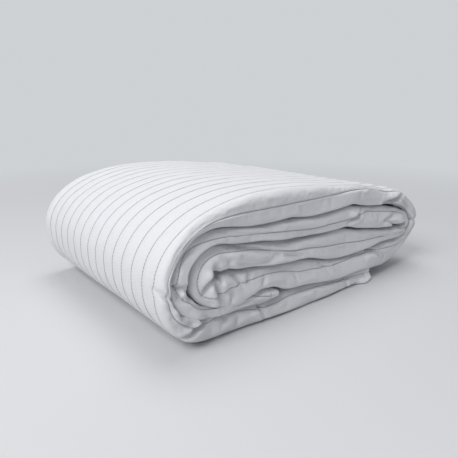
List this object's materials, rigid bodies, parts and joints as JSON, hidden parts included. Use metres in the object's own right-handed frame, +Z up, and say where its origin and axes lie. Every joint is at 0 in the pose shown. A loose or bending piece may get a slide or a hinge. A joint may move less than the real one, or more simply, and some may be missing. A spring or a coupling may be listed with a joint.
{
  "type": "folded mattress pad",
  "caption": "White quilted mattress pad for a single bed, folded lengthways into three plies and then folded and rolled into a loose bundle.",
  "frame": {"origin": "centre of the footprint of the bundle, at the floor", "axes": "+X runs along the length of the bundle to the right of the picture, +Y from the near fold with its turns in view to the far end, +Z up from the floor"},
  "size_m": [0.4203, 0.2936, 0.1388],
  "materials": {
    "face_cloth": "matte woven cotton with a soft twill",
    "wadding": "matte polyester wadding",
    "backing_cloth": "matte thin woven cloth",
    "binding_tape": "matte woven tape"
  },
  "bodies": {
    "root": {"face_cloth_outer_turns": "face_cloth", "face_cloth_inner_turns": "face_cloth", "wadding": "wadding", "backing_cloth": "backing_cloth", "outer_side_binding": "binding_tape", "tucked_side_binding": "binding_tape", "foot_end_binding": "binding_tape", "head_end_binding": "binding_tape"}
  },
  "joints": []
}
